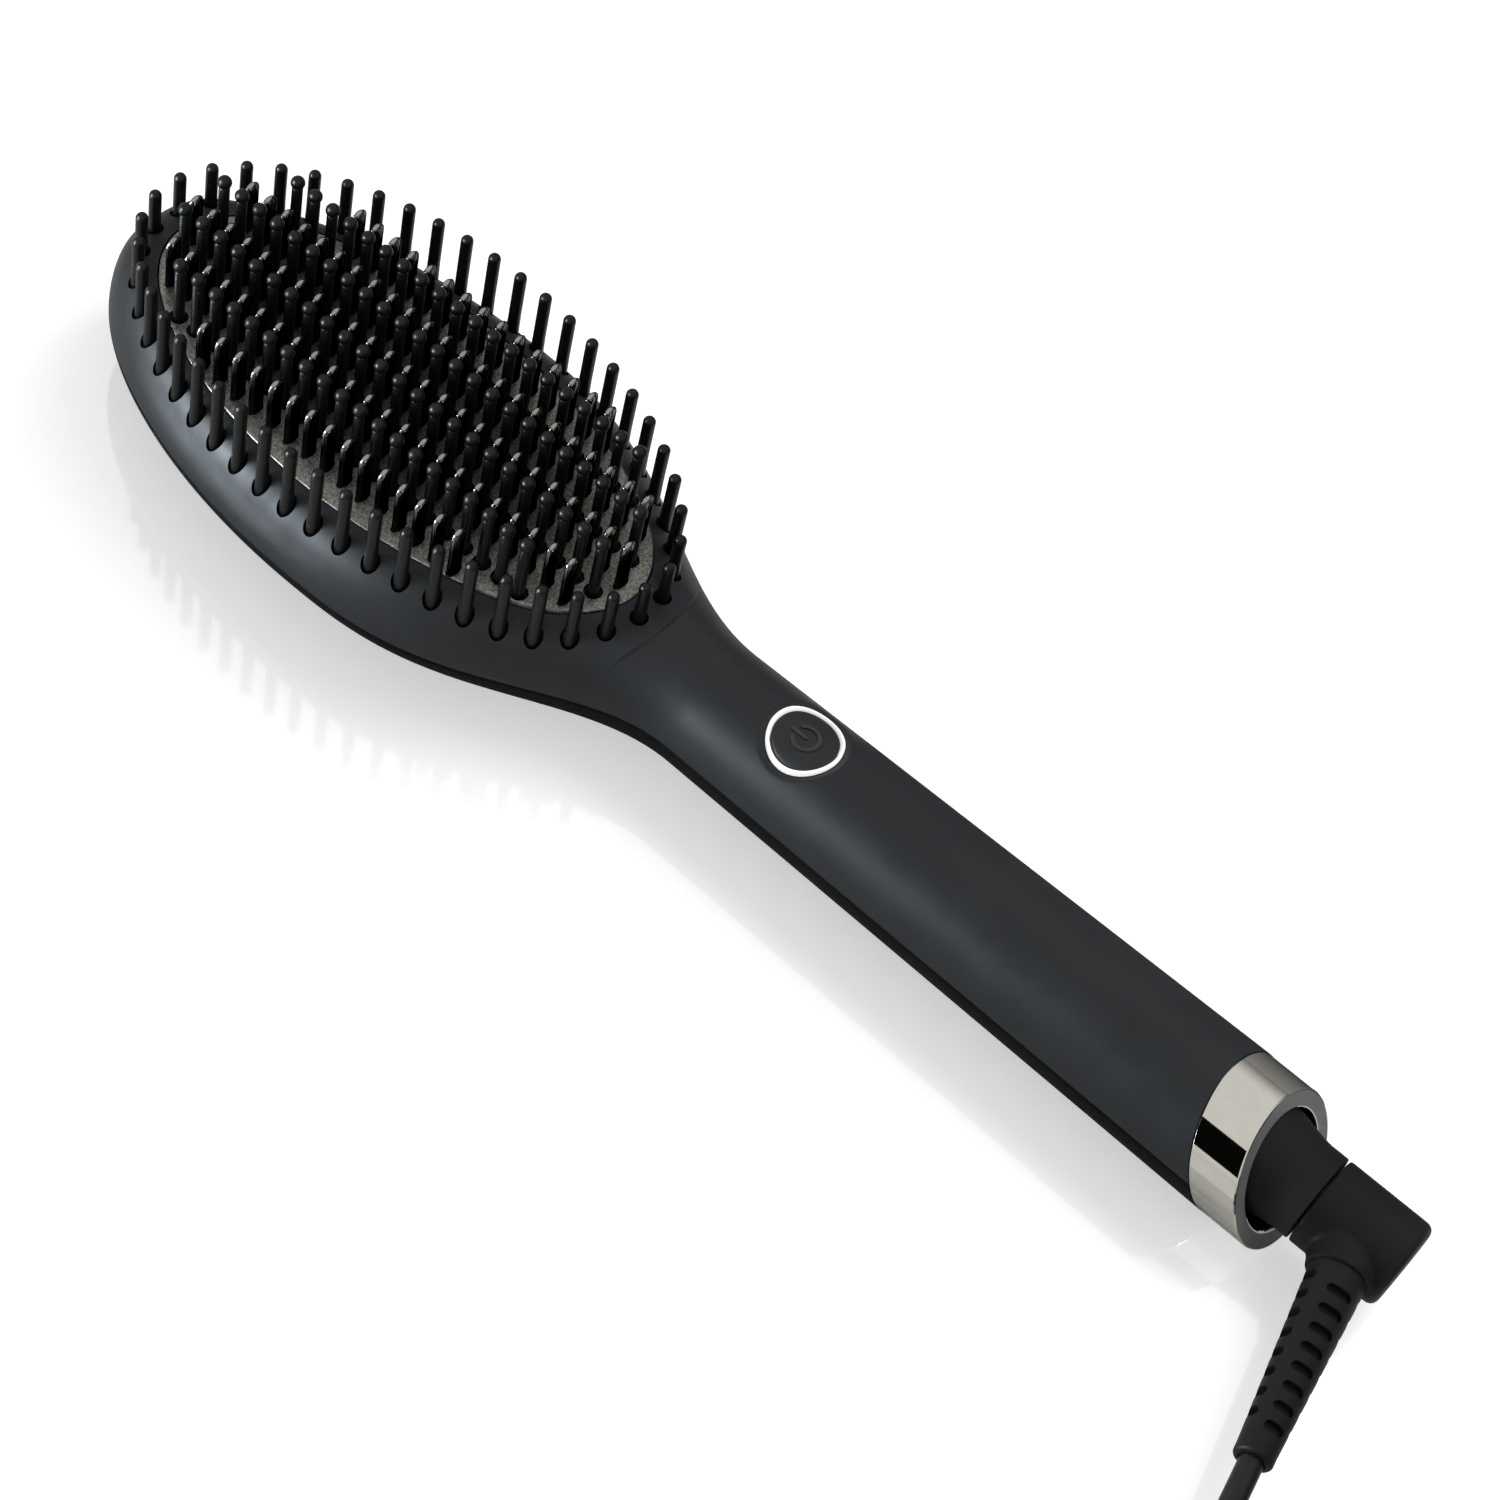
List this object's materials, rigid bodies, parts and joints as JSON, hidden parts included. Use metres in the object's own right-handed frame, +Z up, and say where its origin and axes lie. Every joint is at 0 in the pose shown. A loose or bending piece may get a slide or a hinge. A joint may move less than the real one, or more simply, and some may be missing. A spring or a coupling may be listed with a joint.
{
  "type": "heated styling brush",
  "caption": "Heated paddle brush with an oval bristled head, ridged heating plate, round handle with lit power button, slanted metal end ring and a swivelling cord exit.",
  "frame": {"origin": "on the table under the middle of the brush, cord left out", "axes": "+X from the head's tip towards the cord end, +Y to the far side, +Z up through the bristles"},
  "size_m": [0.3815, 0.1572, 0.0446],
  "materials": {
    "shell": "satin soft-touch",
    "bristle": "matte nylon",
    "plate": "dark metallic coating",
    "fin": "dark polished",
    "ring_metal": "polished nickel",
    "button": "satin",
    "light": "translucent white",
    "rubber": "matte",
    "cord": "satin",
    "silicone": "matte",
    "frame_plastic": "matte",
    "ceramic": "fired ceramic",
    "mica": "mica sheet",
    "steel": "plain",
    "copper": "plain",
    "wire": "sleeve",
    "board": "solder mask",
    "component": "moulded",
    "carbon": "carbon",
    "pin_metal": "nickel"
  },
  "bodies": {
    "brush": {"front_shell": "shell", "back_shell": "shell", "heater_plate": "plate", "heated_fins": "fin", "inner_bristles": "bristle", "outer_bristles": "bristle", "bristle_pad": "silicone", "heater_frame": "frame_plastic", "heat_shield": "steel", "ceramic_heaters": "ceramic", "mica_strips": "mica", "thermistor": "component", "thermal_fuse": "steel", "heater_leads": "wire", "control_board": "board", "board_screws": "steel", "tact_switch": "component", "ring_leds": "light", "buzzer": "component", "capacitor": "component", "triac": "component", "mains_fuse": "component", "mains_leads": "wire", "light_ring": "light", "end_ring": "ring_metal", "end_cap": "rubber", "contact_brushes": "carbon"},
    "button": {"power_button": "button", "switch_plunger": "component"},
    "swivel": {"swivel_elbow": "rubber", "swivel_spindle": "frame_plastic", "slip_rings": "copper", "strain_relief": "rubber", "cord_lead": "cord", "cord_coil": "cord", "cord_tie": "rubber", "cord_tail": "cord", "plug_body": "rubber", "plug_pins": "pin_metal"}
  },
  "joints": [
    {"name": "button_press", "type": "slide", "parent": "brush", "child": "button", "axis": [0, 0, -1], "range_m": [0, 0.0006], "stiffness_N_per_m": 2000, "springref_m": -0.0006},
    {"name": "cord_swivel", "type": "hinge", "parent": "brush", "child": "swivel", "pos_m": [0.1356, 0, 0.01445], "axis": [1, 0, 0], "continuous": true}
  ]
}
